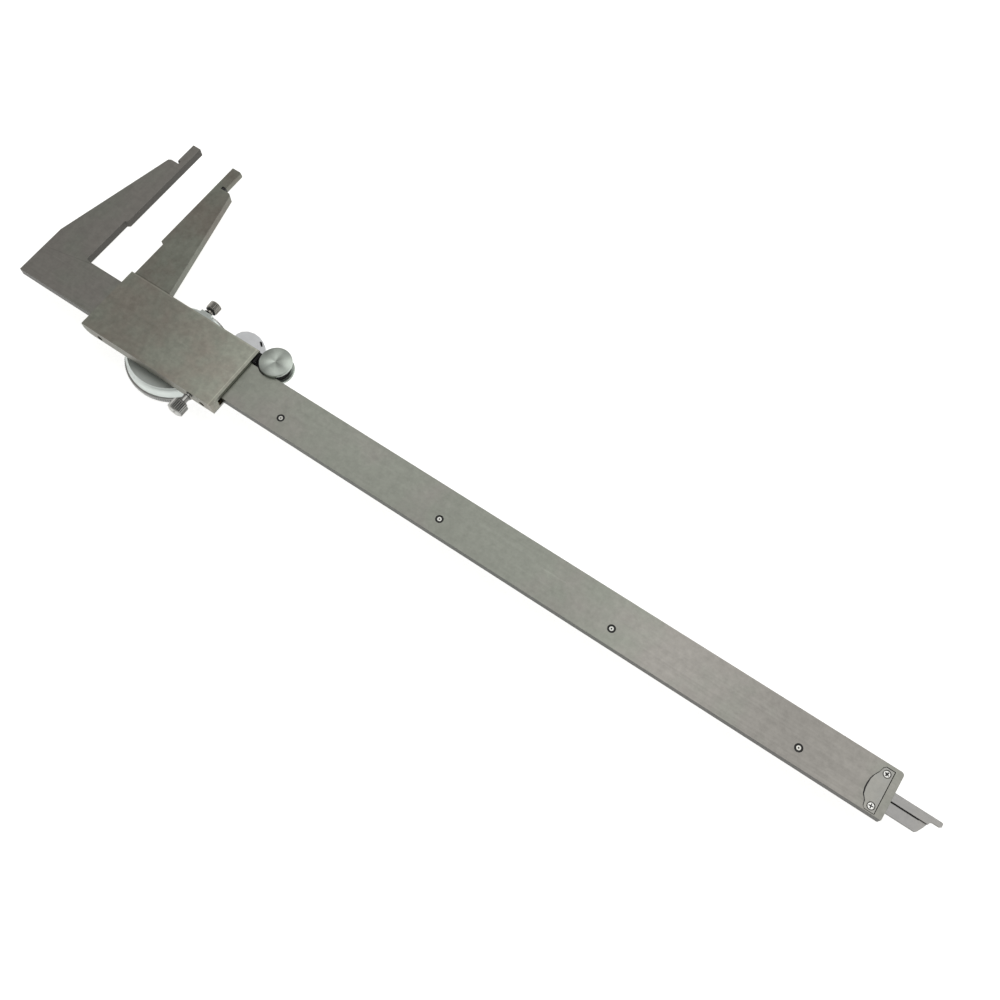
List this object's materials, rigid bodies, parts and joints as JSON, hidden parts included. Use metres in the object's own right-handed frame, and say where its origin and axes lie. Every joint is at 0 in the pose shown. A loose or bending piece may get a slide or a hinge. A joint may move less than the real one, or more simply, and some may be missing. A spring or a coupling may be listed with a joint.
{
  "type": "dial caliper",
  "caption": "Long steel dial caliper with nib jaws, a geared dial slider, a thumb roller, a lock screw and a depth bar.",
  "frame": {"origin": "under the middle of the whole caliper's bounding box, on the plane the bezel rests on", "axes": "+X along the beam from the fixed jaw to the tail, +Y towards the jaw tips, +Z out of the beam's flat back; the dial faces -Z"},
  "size_m": [0.4388, 0.1122, 0.0189],
  "materials": {
    "satin_steel": "satin, fine lengthwise grain",
    "slider_steel": "satin, fine lengthwise grain",
    "turned_steel": "turned, bright",
    "screw_steel": "machined",
    "light_casting": "matt cast",
    "brass": "machined",
    "dial_white": "matt enamel",
    "black_rubber": "matt",
    "pointer_black": "satin",
    "crystal": "clear, polished"
  },
  "bodies": {
    "beam": {"beam_fixed_jaw": "satin_steel", "rack": "turned_steel", "rack_pin_1": "screw_steel", "rack_pin_2": "screw_steel", "rack_pin_3": "screw_steel", "rack_pin_4": "screw_steel", "rack_pin_5": "screw_steel", "tail_plate": "satin_steel", "tail_screw_1": "turned_steel", "tail_screw_2": "turned_steel"},
    "slider": {"slider_body": "slider_steel", "front_plate": "satin_steel", "plate_screw_1": "screw_steel", "plate_screw_2": "screw_steel", "plate_screw_3": "screw_steel", "plate_screw_4": "screw_steel", "gib_strip": "brass", "gib_screw_1": "screw_steel", "gib_screw_2": "screw_steel", "dial_housing": "light_casting", "bridge": "brass", "bridge_screw_1": "screw_steel", "bridge_screw_2": "screw_steel", "hairspring": "brass", "roller_bracket": "light_casting", "bracket_screw_1": "screw_steel", "bracket_screw_2": "screw_steel", "roller_axle": "screw_steel", "rail_wiper": "black_rubber", "depth_bar": "satin_steel", "bar_screw": "screw_steel"},
    "roller": {"thumb_roller": "turned_steel"},
    "pinion_shaft": {"rack_pinion": "screw_steel", "drive_gear": "brass"},
    "backlash_shaft": {"backlash_gear": "brass", "backlash_arbor": "screw_steel"},
    "centre_shaft": {"centre_arbor": "screw_steel", "pointer": "pointer_black"},
    "bezel_ring": {"bezel": "turned_steel", "dial_face": "dial_white", "crystal": "crystal"},
    "lock": {"lock_screw": "screw_steel"},
    "clamp": {"clamp_screw": "screw_steel"}
  },
  "joints": [
    {"name": "slider_travel", "type": "slide", "parent": "beam", "child": "slider", "axis": [1, 0, 0], "range_m": [-0.0192, 0.2805]},
    {"name": "roller_spin", "type": "hinge", "parent": "slider", "child": "roller", "pos_m": [-0.09595, -0.0142, 0.0154], "axis": [0, 0, 1], "continuous": true},
    {"name": "pinion_spin", "type": "hinge", "parent": "slider", "child": "pinion_shaft", "pos_m": [-0.1317, -0.03031, 0.0094], "axis": [0, 0, 1], "continuous": true},
    {"name": "backlash_spin", "type": "hinge", "parent": "slider", "child": "backlash_shaft", "pos_m": [-0.1498, -0.03031, 0.0094], "axis": [0, 0, 1], "continuous": true},
    {"name": "centre_spin", "type": "hinge", "parent": "slider", "child": "centre_shaft", "pos_m": [-0.14075, -0.03031, 0.0094], "axis": [0, 0, 1], "continuous": true},
    {"name": "bezel_turn", "type": "hinge", "parent": "slider", "child": "bezel_ring", "pos_m": [-0.14075, -0.03031, 0.0094], "axis": [0, 0, 1], "continuous": true},
    {"name": "lock_screw_turn", "type": "hinge", "parent": "slider", "child": "lock", "pos_m": [-0.11685, -0.0462, 0.0152], "axis": [0, 1, 0], "range_deg": [-540, 540]},
    {"name": "clamp_screw_turn", "type": "hinge", "parent": "slider", "child": "clamp", "pos_m": [-0.14075, -0.0085, 0.0074], "axis": [0, 1, 0], "range_deg": [-540, 540]}
  ],
  "couplings": [
    {"joint": "roller_spin", "follows": "slider_travel", "rad_per_m": -175.44},
    {"joint": "pinion_spin", "follows": "slider_travel", "rad_per_m": -628.32},
    {"joint": "backlash_spin", "follows": "slider_travel", "rad_per_m": -628.32},
    {"joint": "centre_spin", "follows": "slider_travel", "rad_per_m": 3141.6}
  ]
}
